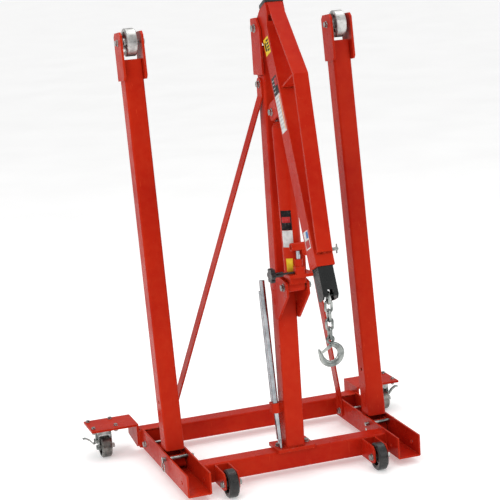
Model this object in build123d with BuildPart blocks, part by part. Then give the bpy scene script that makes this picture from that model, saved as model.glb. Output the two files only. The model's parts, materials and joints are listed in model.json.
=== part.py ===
"""Folding engine hoist crane, stored upright: base, mast, boom, hydraulic ram and two fold-up legs."""
import math
import os

from build123d import *

os.makedirs("parts", exist_ok=True)

# ---------------------------------------------------------------- driving dimensions (mm)
# X runs across the crane, -Y is the front where the legs fold down, Z is up from the floor.
datum_y = 111.0            # the legs' line on the floor, behind the middle of the footprint

rail_spacing = 796.0       # between the centres of the two U rails
rail_width = 88.0
rail_height = 80.0
rail_wall = 6.0
rail_bottom_z = 25.0
rail_front_y = datum_y - 316.0
rail_rear_y = datum_y + 279.0

tube_size = 70.0           # square tube of the legs, mast and cross beams
tube_wall = 4.0
tube_corner = 7.0
front_beam_y = datum_y - 177.0
rear_beam_y = rail_rear_y + tube_size / 2
beam_z = rail_bottom_z + tube_size / 2

mast_y = datum_y - 183.0
mast_top_z = 1540.0
base_plate_thickness = 12.0
base_plate_size = (142.0, 108.0)
head_plate_thickness = 8.0

leg_lean = 7.0             # degrees that a stored leg leans back
leg_pivot_y = datum_y - 20.8
leg_pivot_z = 52.0
leg_axis_offset = 15.0     # leg axis behind its pivot
leg_pivot_radius = 7.0
leg_top = 1466.0           # from the pivot along the leg to the end of the tube
leg_axle = 1527.0          # from the pivot along the leg to the wheel's axle
leg_axle_offset = 17.0     # axle in front of the leg axis
leg_lock_hole = 230.0      # from the pivot to the lock hole
leg_fold = 90.0 + leg_lean

wheel_diameter = 100.0
leg_wheel_width = 38.0
front_wheel_width = 36.0
front_wheel_x = 282.0
front_wheel_y = datum_y - 308.0
wheel_axle_z = wheel_diameter / 2

lock_pin_y = datum_y - 54.0
lock_pin_z = 86.0
lock_pin_radius = 7.0

boom_pivot_y = datum_y - 171.0
boom_pivot_z = 1603.0
boom_angle = 65.9          # degrees that the stored boom points below the horizontal
boom_width = 65.0
boom_depth = 70.0
boom_length = 867.0        # from the pivot along the boom to the end of its tube
boom_rear = 28.0           # the boom's rear face in front of the pivot line
boom_wall = 5.0
boom_pivot_radius = 7.0
truss_width = 52.0
truss_thickness = 8.0
truss_bend = (249.0, 231.0)
truss_end = (824.0, 117.0)
jib_size = 54.0            # square tube that slides in the boom
jib_start = 400.0
jib_end = 976.0
jib_front_notch = (20.0, 946.0)     # width and start of the notch in the jib's front wall
jib_rear_notch = (34.0, 926.0)      # and of the one in its rear wall, where the chain swings out
jib_travel = 300.0
jib_pin_along = 810.0
jib_pin_out = 63.0
jib_pin_radius = 6.0
hanger_along = 958.0

ram_base_y = datum_y - 309.0
ram_base_z = 719.0
ram_base_radius = 6.5
lug_y = datum_y - 262.0
lug_z = 1323.0
ram_cylinder_radius = 33.0
ram_rod_radius = 14.0
ram_body_length = 552.0    # from the base pivot to the top of the cylinder

caster_x = 574.0
caster_y = datum_y + 362.0
caster_plate_top_z = 121.0
caster_trail = 30.0

fit_gap = 0.4              # clearance round loose pins

rail_x = rail_spacing / 2
sides = {"left": -1, "right": 1}


# ---------------------------------------------------------------- planes and helpers
def save(builder, name):
    """Label a finished piece and write it to its own file."""
    builder.part.label = name
    export_step(builder.part, f"parts/{name}.step")


def side_plane(x):
    """A plane across the crane at x: local x is Y, local y is Z, normal +X."""
    return Plane(origin=(x, 0, 0), x_dir=(0, 1, 0), z_dir=(1, 0, 0))


def tilted_plane(x, y, z, degrees):
    """A side plane at a point, whose local y axis leans back by some degrees from the vertical."""
    lean = math.radians(degrees)
    return Plane(origin=(x, y, z), x_dir=(0, math.cos(lean), -math.sin(lean)), z_dir=(1, 0, 0))


def tube_plane(x, y, z, degrees):
    """A plane square to a tube that leans back by some degrees, its normal along the tube."""
    lean = math.radians(degrees)
    return Plane(origin=(x, y, z), x_dir=(1, 0, 0), z_dir=(0, math.sin(lean), math.cos(lean)))


def boom_plane(x):
    """Side plane at the boom's pivot: local x runs out of the boom's front, local y along it."""
    tilt = math.radians(boom_angle)
    return Plane(
        origin=(x, boom_pivot_y, boom_pivot_z),
        x_dir=(0, -math.sin(tilt), math.cos(tilt)),
        z_dir=(1, 0, 0),
    )


def boom_point(along, out):
    """Y and Z of a point along the boom from its pivot and out from the pivot line."""
    tilt = math.radians(boom_angle)
    y = boom_pivot_y - along * math.cos(tilt) - out * math.sin(tilt)
    z = boom_pivot_z - along * math.sin(tilt) + out * math.cos(tilt)
    return y, z


def rod(x_start, x_end, y, z, radius):
    """A round bar along X, added to the open part."""
    with BuildSketch(side_plane(x_start)) as profile:
        with Locations((y, z)):
            Circle(radius)
    extrude(profile.sketch, amount=x_end - x_start)


def hexagon(x_start, x_end, y, z, radius):
    """A hexagonal bolt head or nut along X, added to the open part."""
    with BuildSketch(side_plane(x_start)) as profile:
        with Locations((y, z)):
            RegularPolygon(radius, 6)
    extrude(profile.sketch, amount=x_end - x_start)


def cross_bolt(x_left, x_right, y, z, radius):
    """A bolt across X: head outside x_left, washer, shank, washer and nut outside x_right."""
    washer = 2.0
    rod(x_left - washer, x_right + washer + 1.3 * radius, y, z, radius)
    rod(x_left - washer, x_left, y, z, 2.1 * radius)
    rod(x_right, x_right + washer, y, z, 2.1 * radius)
    hexagon(x_left - washer - 1.3 * radius, x_left - washer, y, z, 1.8 * radius)
    hexagon(x_right + washer, x_right + washer + 1.6 * radius, y, z, 1.8 * radius)


def upright_bolt(x, y, z_bottom, z_top, radius):
    """A bolt along Z: head and washer on z_top, nut and washer under z_bottom."""
    washer = 1.8
    head = 1.3 * radius
    nut = 1.6 * radius
    tip = 0.6 * radius
    bottom = z_bottom - washer - nut
    stack = (
        (bottom - tip, z_top + washer - bottom + tip, Circle, (radius,)),
        (z_bottom - washer, washer, Circle, (2.1 * radius,)),
        (z_top, washer, Circle, (2.1 * radius,)),
        (bottom, nut, RegularPolygon, (1.8 * radius, 6)),
        (z_top + washer, head, RegularPolygon, (1.8 * radius, 6)),
    )
    for z, height, shape, size in stack:
        with BuildSketch(Plane.XY.offset(z)) as profile:
            with Locations((x, y)):
                shape(*size)
        extrude(profile.sketch, amount=height)


leg_direction = (math.sin(math.radians(leg_lean)), math.cos(math.radians(leg_lean)))


def leg_point(along, behind):
    """Y and Z of a point along the leg from its pivot and behind the pivot line."""
    y = leg_pivot_y + along * leg_direction[0] + behind * leg_direction[1]
    z = leg_pivot_z + along * leg_direction[1] - behind * leg_direction[0]
    return y, z


# ---------------------------------------------------------------- base: rails, beams, mast
front_lock_hole_y = leg_pivot_y - leg_lock_hole
lock_hole_z = leg_pivot_z + 10.0
rear_bolt_y = datum_y + 227.0
rear_bolt_z = 58.0

for side_name, side in sides.items():
    x = side * rail_x
    with BuildPart() as rail:
        with BuildSketch(Plane.XZ.offset(-rail_front_y)):
            with Locations((x, rail_bottom_z + rail_height / 2)):
                Rectangle(rail_width, rail_height)
            with Locations((x, rail_bottom_z + rail_height / 2 + rail_wall / 2)):
                Rectangle(rail_width - 2 * rail_wall, rail_height - rail_wall, mode=Mode.SUBTRACT)
        extrude(amount=-(rail_rear_y - rail_front_y))
        fillet(rail.edges().filter_by(Axis.Y).group_by(Axis.Z)[0], rail_wall - 0.5)
        for y, z, radius in (
            (lock_pin_y, lock_pin_z, lock_pin_radius + fit_gap),
            (front_lock_hole_y, lock_hole_z, lock_pin_radius + fit_gap),
            (leg_pivot_y, leg_pivot_z, leg_pivot_radius),
            (rear_bolt_y, rear_bolt_z, 6.1),
        ):
            with BuildSketch(side_plane(x - rail_width)):
                with Locations((y, z)):
                    Circle(radius)
            extrude(amount=2 * rail_width, mode=Mode.SUBTRACT)
    save(rail, f"{side_name}_rail")

with BuildPart() as front_beam:
    half = rail_x - rail_width / 2
    with BuildSketch(side_plane(-half)):
        with Locations((front_beam_y, beam_z)):
            RectangleRounded(tube_size, tube_size, tube_corner)
            RectangleRounded(
                tube_size - 2 * tube_wall, tube_size - 2 * tube_wall, tube_corner - tube_wall, mode=Mode.SUBTRACT
            )
    extrude(amount=2 * half)
save(front_beam, "front_beam")

with BuildPart() as rear_beam:
    half = rail_x + rail_width / 2
    with BuildSketch(side_plane(-half)):
        with Locations((rear_beam_y, beam_z)):
            RectangleRounded(tube_size, tube_size, tube_corner)
            RectangleRounded(
                tube_size - 2 * tube_wall, tube_size - 2 * tube_wall, tube_corner - tube_wall, mode=Mode.SUBTRACT
            )
    extrude(amount=2 * half)
save(rear_beam, "rear_beam")

brace_top_z = 1412.0
brace_top_y = datum_y - 176.0
beam_top_z = beam_z + tube_size / 2
base_plate_y = datum_y - 174.0
base_plate_top_z = beam_top_z + base_plate_thickness
base_bolt_x = 53.0

with BuildPart() as base_plate:
    with BuildSketch(Plane.XY.offset(beam_top_z)):
        with Locations((0, base_plate_y)):
            RectangleRounded(base_plate_size[0], base_plate_size[1], 5)
        with Locations((-base_bolt_x, front_beam_y), (base_bolt_x, front_beam_y)):
            Circle(7, mode=Mode.SUBTRACT)
    extrude(amount=base_plate_thickness)
save(base_plate, "mast_base_plate")

with BuildPart() as mast:
    with BuildSketch(Plane.XY.offset(base_plate_top_z)):
        with Locations((0, mast_y)):
            RectangleRounded(tube_size, tube_size, tube_corner)
            RectangleRounded(
                tube_size - 2 * tube_wall, tube_size - 2 * tube_wall, tube_corner - tube_wall, mode=Mode.SUBTRACT
            )
    extrude(amount=mast_top_z - base_plate_top_z)
    with BuildSketch(side_plane(-tube_size)):
        with Locations((brace_top_y, brace_top_z)):
            Circle(6.1)
    extrude(amount=2 * tube_size, mode=Mode.SUBTRACT)
save(mast, "mast")

mast_front_y = mast_y - tube_size / 2
mast_rear_y = mast_y + tube_size / 2
head_plate_rear_y = datum_y - 133.0
head_plate_front_y = datum_y - 226.0

with BuildPart() as head_plates:
    for side in sides.values():
        with BuildSketch(side_plane(side * tube_size / 2)):
            with BuildLine():
                FilletPolyline(
                    (head_plate_rear_y, 1441),
                    (head_plate_rear_y, 1634),
                    (head_plate_rear_y - 52, 1640),
                    (head_plate_front_y + 6, 1600),
                    (head_plate_front_y, 1448),
                    radius=5,
                    close=True,
                )
            make_face()
            with Locations((boom_pivot_y, boom_pivot_z)):
                Circle(boom_pivot_radius + 0.06, mode=Mode.SUBTRACT)
        extrude(amount=side * head_plate_thickness)
save(head_plates, "mast_head_plates")

with BuildPart() as boom_pivot_bolt:
    reach = tube_size / 2 + head_plate_thickness
    cross_bolt(-reach, reach, boom_pivot_y, boom_pivot_z, boom_pivot_radius)
save(boom_pivot_bolt, "boom_pivot_bolt")

# ---------------------------------------------------------------- braces from the mast to the rails
brace_width = 46.0
brace_thickness = 6.0
brace_tab = 42.0           # flat length at each end

with BuildPart() as braces:
    for side in sides.values():
        top = Vector(side * (tube_size / 2 + brace_thickness / 2), brace_top_y, brace_top_z)
        bottom = Vector(side * (rail_x - rail_width / 2 - brace_thickness / 2), rear_bolt_y, rear_bolt_z)
        for end, reach in ((top, -1), (bottom, 1)):
            with BuildSketch(side_plane(end.X - brace_thickness / 2)):
                with Locations((end.Y, end.Z)):
                    Circle(brace_width / 2)
                with Locations((end.Y, end.Z + reach * brace_tab / 2)):
                    Rectangle(brace_width, brace_tab)
                with Locations((end.Y, end.Z)):
                    Circle(6.3, mode=Mode.SUBTRACT)
            extrude(amount=brace_thickness)
        for corner in (Vector(top.X, top.Y, top.Z - brace_tab), Vector(bottom.X, bottom.Y, bottom.Z + brace_tab)):
            with BuildSketch(Plane(origin=corner, x_dir=(0, 1, 0), z_dir=(0, 0, -1))):
                Rectangle(brace_width, brace_thickness)
        loft()
save(braces, "mast_braces")

with BuildPart() as frame_bolts:
    reach = tube_size / 2 + brace_thickness
    cross_bolt(-reach, reach, brace_top_y, brace_top_z, 6)
    for side in sides.values():
        inner = side * (rail_x - rail_width / 2 - brace_thickness)
        outer = side * (rail_x + rail_width / 2)
        cross_bolt(min(inner, outer), max(inner, outer), rear_bolt_y, rear_bolt_z, 6)
        upright_bolt(side * base_bolt_x, front_beam_y, beam_top_z, base_plate_top_z, 6)
    # the base bolts screw into the beam: nothing of them is left below its top
    with BuildSketch(Plane.XY):
        with Locations((0, front_beam_y)):
            Rectangle(400, 60)
    extrude(amount=beam_top_z, mode=Mode.SUBTRACT)
save(frame_bolts, "frame_bolts")

# ---------------------------------------------------------------- ears that carry the ram
ear_inner_x = tube_size / 2
ear_thickness = 8.0
ear_top_z = 752.0

with BuildPart() as ram_ears:
    for side in sides.values():
        with BuildSketch(side_plane(side * ear_inner_x)):
            with BuildLine():
                FilletPolyline(
                    (mast_rear_y - 20, 700),
                    (mast_rear_y - 20, ear_top_z),
                    (mast_front_y - 20, ear_top_z),
                    (ram_base_y - 26, ram_base_z + 20),
                    (ram_base_y - 30, ram_base_z - 26),
                    (mast_front_y - 10, 585),
                    (mast_front_y + 14, 585),
                    radius=6,
                    close=True,
                )
            make_face()
            with Locations((ram_base_y, ram_base_z)):
                Circle(ram_base_radius + 0.06, mode=Mode.SUBTRACT)
        extrude(amount=side * ear_thickness)
save(ram_ears, "ram_ears")

with BuildPart() as ram_base_bolt:
    reach = ear_inner_x + ear_thickness
    cross_bolt(-reach, reach, ram_base_y, ram_base_z, ram_base_radius)
save(ram_base_bolt, "ram_base_bolt")

# ---------------------------------------------------------------- front wheels
fork_plate = 5.0
fork_gap = front_wheel_width + 8.0
front_beam_face_y = front_beam_y - tube_size / 2

with BuildPart() as wheel_brackets:
    for side in sides.values():
        x = side * front_wheel_x
        with BuildSketch(Plane.XZ.offset(-front_beam_face_y)):
            with Locations((x, beam_z - 1)):
                Rectangle(fork_gap + 2 * fork_plate, tube_size - 4)
        extrude(amount=fork_plate)
        for offset in (-fork_gap / 2 - fork_plate, fork_gap / 2):
            with BuildSketch(side_plane(x + offset)):
                with BuildLine():
                    FilletPolyline(
                        (front_beam_face_y, 26),
                        (front_beam_face_y, beam_top_z - 3),
                        (front_wheel_y - 6, beam_top_z - 3),
                        (front_wheel_y - 22, 76),
                        (front_wheel_y - 22, 36),
                        (front_wheel_y + 2, 26),
                        radius=4,
                        close=True,
                    )
                make_face()
                with Locations((front_wheel_y, wheel_axle_z)):
                    Circle(6.1, mode=Mode.SUBTRACT)
            extrude(amount=fork_plate)
save(wheel_brackets, "front_wheel_brackets")

with BuildPart() as front_axles:
    for side in sides.values():
        x = side * front_wheel_x
        reach = fork_gap / 2 + fork_plate
        cross_bolt(x - reach, x + reach, front_wheel_y, wheel_axle_z, 6)
save(front_axles, "front_wheel_axles")


def wheel_body(x, y, z, width, rim_radius, outer_radius, tread_crown):
    """The tread ring of a wheel, from its rim out, crowned at the edges."""
    with BuildPart() as ring:
        with BuildSketch(Plane(origin=(x, y, z), x_dir=(1, 0, 0), z_dir=(0, 0, 1))):
            with BuildLine():
                Polyline(
                    (-width / 2, rim_radius),
                    (width / 2, rim_radius),
                    (width / 2, outer_radius - tread_crown),
                    (width / 2 - tread_crown, outer_radius),
                    (-width / 2 + tread_crown, outer_radius),
                    (-width / 2, outer_radius - tread_crown),
                    close=True,
                )
            make_face()
        revolve(axis=Axis((x, y, z), (1, 0, 0)))
    return ring


def wheel_hub(x, y, z, width, rim_radius, bore):
    """The wheel centre inside the tread: rim, web, hub barrel and five lightening hollows."""
    with BuildPart() as hub:
        with BuildSketch(Plane(origin=(x, y, z), x_dir=(1, 0, 0), z_dir=(0, 0, 1))):
            with BuildLine():
                Polyline(
                    (-width / 2 - 1, bore),
                    (width / 2 + 1, bore),
                    (width / 2 + 1, bore + 7),
                    (5, bore + 9),
                    (5, rim_radius - 6),
                    (width / 2 - 2, rim_radius - 4),
                    (width / 2 - 2, rim_radius),
                    (-width / 2 + 2, rim_radius),
                    (-width / 2 + 2, rim_radius - 4),
                    (-5, rim_radius - 6),
                    (-5, bore + 9),
                    (-width / 2 - 1, bore + 7),
                    close=True,
                )
            make_face()
        revolve(axis=Axis((x, y, z), (1, 0, 0)))
        with BuildSketch(side_plane(x - width)):
            with Locations((y, z)):
                with PolarLocations((rim_radius + bore + 2) / 2, 5, start_angle=18):
                    Circle(4.2)
        extrude(amount=2 * width, mode=Mode.SUBTRACT)
    return hub


rim_radius = 37.0
wheel_bore = 6.06
for side_name, side in sides.items():
    x = side * front_wheel_x
    tread = wheel_body(x, front_wheel_y, wheel_axle_z, front_wheel_width, rim_radius, wheel_diameter / 2, 5)
    save(tread, f"{side_name}_front_tyre")
    hub = wheel_hub(x, front_wheel_y, wheel_axle_z, front_wheel_width, rim_radius, wheel_bore)
    save(hub, f"{side_name}_front_hub")

# ---------------------------------------------------------------- rear casters on outriggers
outrigger_inner_x = rail_x + rail_width / 2 + 8.0
outrigger_outer_x = 630.0
outrigger_front_y = datum_y + 285.0
outrigger_rear_y = datum_y + 424.0
outrigger_thickness = 8.0
mount_plate_thickness = 4.0
caster_bolt_x = 43.0
caster_bolt_y = 46.0
swivel_plate_z = caster_plate_top_z - outrigger_thickness - mount_plate_thickness
caster_wheel_z = 41.0
caster_wheel_radius = 41.0
caster_wheel_width = 38.0
caster_axle_y = caster_y - caster_trail
lever_front_y = caster_y - 16.0
lever_rear_y = caster_y
lever_pin_out = 4.0
lever_pin_z = 60.0
lever_outline = (
    (1, 88),
    (4, 88),
    (7, 60),
    (13, 53),
    (27, 70),
    (43, 79),
    (54, 78),
    (54, 75),
    (44, 75),
    (30, 66),
    (14, 48),
    (1, 56),
)

with BuildPart() as outriggers:
    for side in sides.values():
        with BuildSketch(Plane.XY.offset(caster_plate_top_z - outrigger_thickness)):
            with Locations((side * (outrigger_inner_x + outrigger_outer_x) / 2, caster_y - 7)):
                Rectangle(outrigger_outer_x - outrigger_inner_x, outrigger_rear_y - outrigger_front_y)
            with Locations((side * caster_x, caster_y)):
                with GridLocations(2 * caster_bolt_x, 2 * caster_bolt_y, 2, 2):
                    Circle(5, mode=Mode.SUBTRACT)
        extrude(amount=outrigger_thickness)
        with BuildSketch(side_plane(side * outrigger_inner_x)):
            with BuildLine():
                FilletPolyline(
                    (outrigger_rear_y, caster_plate_top_z - 2),
                    (outrigger_rear_y, 46),
                    (outrigger_front_y + 12, 30),
                    (outrigger_front_y, 42),
                    (outrigger_front_y, caster_plate_top_z - 2),
                    radius=2,
                    close=True,
                )
            make_face()
        extrude(amount=side * outrigger_thickness)
        with BuildSketch(side_plane(side * (rail_x + rail_width / 2))):
            with Locations((rear_beam_y, beam_z)):
                Rectangle(tube_size - 6, tube_size - 6)
        extrude(amount=side * 8.0)
save(outriggers, "outriggers")

for side_name, side in sides.items():
    x = side * caster_x
    yoke_top_z = swivel_plate_z - 5.5
    yoke_half = caster_wheel_width / 2 + 4.0
    with BuildPart() as yoke:
        with BuildSketch(Plane.XY.offset(yoke_top_z - 5)):
            with Locations((x, caster_y - 4)):
                RectangleRounded(62, 72, 14)
            with Locations((x, caster_y)):
                Circle(7.06, mode=Mode.SUBTRACT)
        extrude(amount=5)
        for offset in (-yoke_half - 3, yoke_half):
            with BuildSketch(side_plane(x + offset)):
                with BuildLine():
                    FilletPolyline(
                        (caster_y + 28, yoke_top_z - 1),
                        (caster_y + 26, yoke_top_z - 12),
                        (caster_axle_y + 15, caster_wheel_z - 6),
                        (caster_axle_y, caster_wheel_z - 16),
                        (caster_axle_y - 15, caster_wheel_z - 4),
                        (caster_y - 37, yoke_top_z - 1),
                        radius=3,
                        close=True,
                    )
                make_face()
                with Locations((caster_axle_y, caster_wheel_z)):
                    Circle(5.2, mode=Mode.SUBTRACT)
            extrude(amount=3)
        # skirt across the front, above the wheel
        with BuildSketch(Plane.XZ.offset(-(caster_y - 38))):
            with Locations((x, yoke_top_z - 8)):
                Rectangle(2 * yoke_half + 6, 16)
        extrude(amount=-3)
        # two ears for the brake lever's pin
        for y in (lever_rear_y, lever_front_y - 4):
            with BuildSketch(Plane.XZ.offset(-y)):
                with Locations((x + side * (yoke_half + 7.5), lever_pin_z)):
                    Rectangle(10, 13)
                with Locations((x + side * (yoke_half + 3 + lever_pin_out), lever_pin_z)):
                    Circle(2.56, mode=Mode.SUBTRACT)
            extrude(amount=-3)
    save(yoke, f"{side_name}_caster_yoke")

    with BuildPart() as caster_axle:
        cross_bolt(x - yoke_half - 3, x + yoke_half + 3, caster_axle_y, caster_wheel_z, 5)
    save(caster_axle, f"{side_name}_caster_axle")

    with BuildPart() as caster_wheel:
        with BuildSketch(Plane(origin=(x, caster_axle_y, caster_wheel_z), x_dir=(1, 0, 0), z_dir=(0, 0, 1))):
            with BuildLine():
                Polyline(
                    (-caster_wheel_width / 2 - 2, 5.06),
                    (caster_wheel_width / 2 + 2, 5.06),
                    (caster_wheel_width / 2 + 2, 13),
                    (6, 15),
                    (6, 29),
                    (caster_wheel_width / 2, 31),
                    (caster_wheel_width / 2, caster_wheel_radius - 4),
                    (caster_wheel_width / 2 - 4, caster_wheel_radius),
                    (-caster_wheel_width / 2 + 4, caster_wheel_radius),
                    (-caster_wheel_width / 2, caster_wheel_radius - 4),
                    (-caster_wheel_width / 2, 31),
                    (-6, 29),
                    (-6, 15),
                    (-caster_wheel_width / 2 - 2, 13),
                    close=True,
                )
            make_face()
        revolve(axis=Axis((x, caster_axle_y, caster_wheel_z), (1, 0, 0)))
    save(caster_wheel, f"{side_name}_caster_wheel")

    # bent strip on a pin, its pedal standing out beside the wheel
    lever_face = x + side * (yoke_half + 3)
    with BuildPart() as brake_lever:
        with BuildSketch(Plane(origin=(lever_face, lever_front_y, 0), x_dir=(side, 0, 0), z_dir=(0, -side, 0))):
            with BuildLine():
                Polyline(*lever_outline, close=True)
            make_face()
        extrude(amount=-side * (lever_rear_y - lever_front_y - 1))
        with BuildSketch(Plane.XZ.offset(-(lever_front_y - 5))):
            with Locations((lever_face + side * lever_pin_out, lever_pin_z)):
                Circle(2.5)
        extrude(amount=-(lever_rear_y - lever_front_y + 9))
    save(brake_lever, f"{side_name}_brake_lever")

with BuildPart() as caster_plates:
    for side in sides.values():
        with BuildSketch(Plane.XY.offset(swivel_plate_z)):
            with Locations((side * caster_x, caster_y)):
                RectangleRounded(106, 112, 8)
                with GridLocations(2 * caster_bolt_x, 2 * caster_bolt_y, 2, 2):
                    Circle(4.3, mode=Mode.SUBTRACT)
        extrude(amount=mount_plate_thickness)
        with BuildSketch(Plane.XY.offset(swivel_plate_z - 5)):
            with Locations((side * caster_x, caster_y)):
                Circle(30)
        extrude(amount=5)
        with BuildSketch(Plane.XY.offset(swivel_plate_z - 13)):
            with Locations((side * caster_x, caster_y)):
                Circle(7)
        extrude(amount=8)
save(caster_plates, "caster_plates")

with BuildPart() as caster_bolts:
    for side in sides.values():
        for x_step in (-caster_bolt_x, caster_bolt_x):
            for y_step in (-caster_bolt_y, caster_bolt_y):
                upright_bolt(
                    side * caster_x + x_step, caster_y + y_step, swivel_plate_z, caster_plate_top_z, 4
                )
save(caster_bolts, "caster_bolts")

# ---------------------------------------------------------------- legs that fold down to the front
pin_reach = math.hypot(lock_pin_y - leg_pivot_y, lock_pin_z - leg_pivot_z)
pin_bearing = math.degrees(math.atan2(lock_pin_z - leg_pivot_z, lock_pin_y - leg_pivot_y))
pin_relief = lock_pin_radius + 2.0
cheek_radius = 19.0

for side_name, side in sides.items():
    x = side * rail_x
    foot = leg_point(-8, leg_axis_offset)
    axle = leg_point(leg_axle, leg_axis_offset - leg_axle_offset)
    hole = leg_point(leg_lock_hole, 10.0)
    with BuildPart() as leg:
        with BuildSketch(tube_plane(x, foot[0], foot[1], leg_lean)):
            RectangleRounded(tube_size, tube_size, tube_corner)
            RectangleRounded(
                tube_size - 2 * tube_wall, tube_size - 2 * tube_wall, tube_corner - tube_wall, mode=Mode.SUBTRACT
            )
        extrude(amount=leg_top + 8)
        for wall in (-tube_size / 2, tube_size / 2 - tube_wall):
            rod(x + wall, x + wall + tube_wall, leg_pivot_y, leg_pivot_z, cheek_radius)
        # the foot's front corner is rounded about the pivot
        with BuildSketch(tilted_plane(x - tube_size, leg_pivot_y, leg_pivot_z, leg_lean)):
            with Locations((-20, -20)):
                Rectangle(40, 40)
            Circle(cheek_radius, mode=Mode.SUBTRACT)
        extrude(amount=2 * tube_size, mode=Mode.SUBTRACT)
        # relief for the lock pin, which stays in its rail holes while the leg turns past it
        with BuildSketch(tilted_plane(x - tube_size, leg_pivot_y, leg_pivot_z, leg_lean)):
            with BuildLine():
                relief = CenterArc((0, 0), pin_reach, pin_bearing + leg_lean - leg_fold, leg_fold + 20)
            SlotArc(relief, 2 * pin_relief)
        extrude(amount=2 * tube_size, mode=Mode.SUBTRACT)
        # holes for the pivot and the lock pin
        with BuildSketch(side_plane(x - tube_size)):
            with Locations((leg_pivot_y, leg_pivot_z)):
                Circle(7.06)
            with Locations(hole):
                Circle(lock_pin_radius + fit_gap)
        extrude(amount=2 * tube_size, mode=Mode.SUBTRACT)
        # the wheel's opening in the tube's end
        with BuildSketch(side_plane(x - 28)):
            with Locations(axle):
                Circle(wheel_diameter / 2 + 6)
        extrude(amount=56, mode=Mode.SUBTRACT)
    save(leg, f"{side_name}_leg")

    with BuildPart() as leg_fork:
        for plate_side in (-1, 1):
            plane = tilted_plane(x + plate_side * tube_size / 2, leg_pivot_y, leg_pivot_z, leg_lean)
            with BuildSketch(plane):
                with BuildLine():
                    FilletPolyline(
                        (leg_axis_offset + 33, leg_axle - 134),
                        (leg_axis_offset + 33, leg_axle + 22),
                        (leg_axis_offset + 18, leg_axle + 36),
                        (leg_axis_offset - 46, leg_axle + 36),
                        (leg_axis_offset - 59, leg_axle + 22),
                        (leg_axis_offset - 59, leg_axle - 122),
                        (leg_axis_offset - 48, leg_axle - 134),
                        radius=5,
                        close=True,
                    )
                make_face()
                with Locations((leg_axis_offset - leg_axle_offset, leg_axle)):
                    Circle(6.1, mode=Mode.SUBTRACT)
            extrude(amount=plate_side * 8)
    save(leg_fork, f"{side_name}_leg_fork")

    with BuildPart() as leg_axle_bolt:
        cross_bolt(x - tube_size / 2 - 8, x + tube_size / 2 + 8, axle[0], axle[1], 6)
    save(leg_axle_bolt, f"{side_name}_leg_axle")

    with BuildPart() as leg_wheel:
        with BuildSketch(Plane(origin=(x, axle[0], axle[1]), x_dir=(1, 0, 0), z_dir=(0, 0, 1))):
            half = leg_wheel_width / 2
            with BuildLine():
                Polyline(
                    (-half - 4, 6.06),
                    (half + 4, 6.06),
                    (half + 4, 15),
                    (8, 17),
                    (8, 36),
                    (half, 39),
                    (half, wheel_diameter / 2 - 3),
                    (half - 3, wheel_diameter / 2),
                    (-half + 3, wheel_diameter / 2),
                    (-half, wheel_diameter / 2 - 3),
                    (-half, 39),
                    (-8, 36),
                    (-8, 17),
                    (-half - 4, 15),
                    close=True,
                )
            make_face()
        revolve(axis=Axis((x, axle[0], axle[1]), (1, 0, 0)))
    save(leg_wheel, f"{side_name}_leg_wheel")

    # lock pin with its bent ring on the outer end
    with BuildPart() as lock_pin:
        start = x - side * (rail_width / 2 + 16)
        stop = x + side * (rail_width / 2 + 14)
        rod(start, stop, lock_pin_y, lock_pin_z, lock_pin_radius)
        rod(stop - side * 5, stop, lock_pin_y, lock_pin_z, lock_pin_radius + 3)
        ring_centre = (stop - side * 2.5, lock_pin_y - 2, lock_pin_z - 26)
        with BuildSketch(Plane(origin=ring_centre, x_dir=(1, 0, 0), z_dir=(0, 1, 0))):
            with Locations((0, 17)):
                Circle(2.2)
        revolve(axis=Axis(ring_centre, (1, 0, 0)))
    save(lock_pin, f"{side_name}_lock_pin")

with BuildPart() as leg_pivots:
    for side in sides.values():
        middle = side * rail_x
        rod(middle - rail_width / 2, middle + rail_width / 2, leg_pivot_y, leg_pivot_z, leg_pivot_radius)
save(leg_pivots, "leg_pivot_pins")

# ---------------------------------------------------------------- boom
boom_front = boom_rear + boom_depth
boom_head = -44.0
half_width = boom_width / 2

with BuildPart() as boom:
    # local x is out of the boom's front, local y runs along the boom away from its head
    with BuildSketch(boom_plane(-half_width)):
        with BuildLine():
            FilletPolyline(
                (boom_rear, boom_length),
                (boom_front, boom_length),
                (boom_front, 30),
                (125, -10),
                (125, boom_head),
                (62, boom_head),
                (4, -25),
                (-23, -8),
                (-23, 12),
                (boom_rear, 70),
                radius=4,
                close=True,
            )
        make_face()
    extrude(amount=boom_width)
    # the hollow that the jib slides in
    with BuildSketch(boom_plane(-half_width + boom_wall)):
        with Locations(((boom_rear + boom_front) / 2, (boom_length + 80) / 2)):
            Rectangle(boom_depth - 2 * boom_wall, boom_length - 80)
    extrude(amount=boom_width - 2 * boom_wall, mode=Mode.SUBTRACT)
    # the head is open between its cheeks, behind the tube and under the end cap
    with BuildSketch(boom_plane(-half_width + boom_wall)):
        with Locations(((boom_rear + boom_front) / 2 + 16, -14)):
            Rectangle(80, 62)
    extrude(amount=boom_width - 2 * boom_wall, mode=Mode.SUBTRACT)
    with BuildSketch(boom_plane(-half_width)):
        Circle(boom_pivot_radius + 0.06)
    extrude(amount=boom_width, mode=Mode.SUBTRACT)
    with BuildSketch(boom_plane(half_width - 2 * boom_wall)):
        with Locations((jib_pin_out, jib_pin_along)):
            Circle(jib_pin_radius + 0.08)
    extrude(amount=3 * boom_wall, mode=Mode.SUBTRACT)
save(boom, "boom")

# pull pin in the boom's right wall, with a bent wire grip
with BuildPart() as jib_pin:
    pin_y, pin_z = boom_point(jib_pin_along, jib_pin_out)
    grip_x = half_width + 30
    rod(half_width - boom_wall + 0.2, grip_x + 4, pin_y, pin_z, jib_pin_radius)
    rod(half_width + 0.4, half_width + 6, pin_y, pin_z, jib_pin_radius + 4)
    rod(half_width + 6, half_width + 9, pin_y, pin_z, jib_pin_radius + 2)
    with BuildSketch(Plane(origin=(grip_x, pin_y, pin_z), z_dir=(0, 0, 1))):
        Circle(2.5)
    extrude(amount=16, both=True)
save(jib_pin, "jib_pin")

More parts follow.
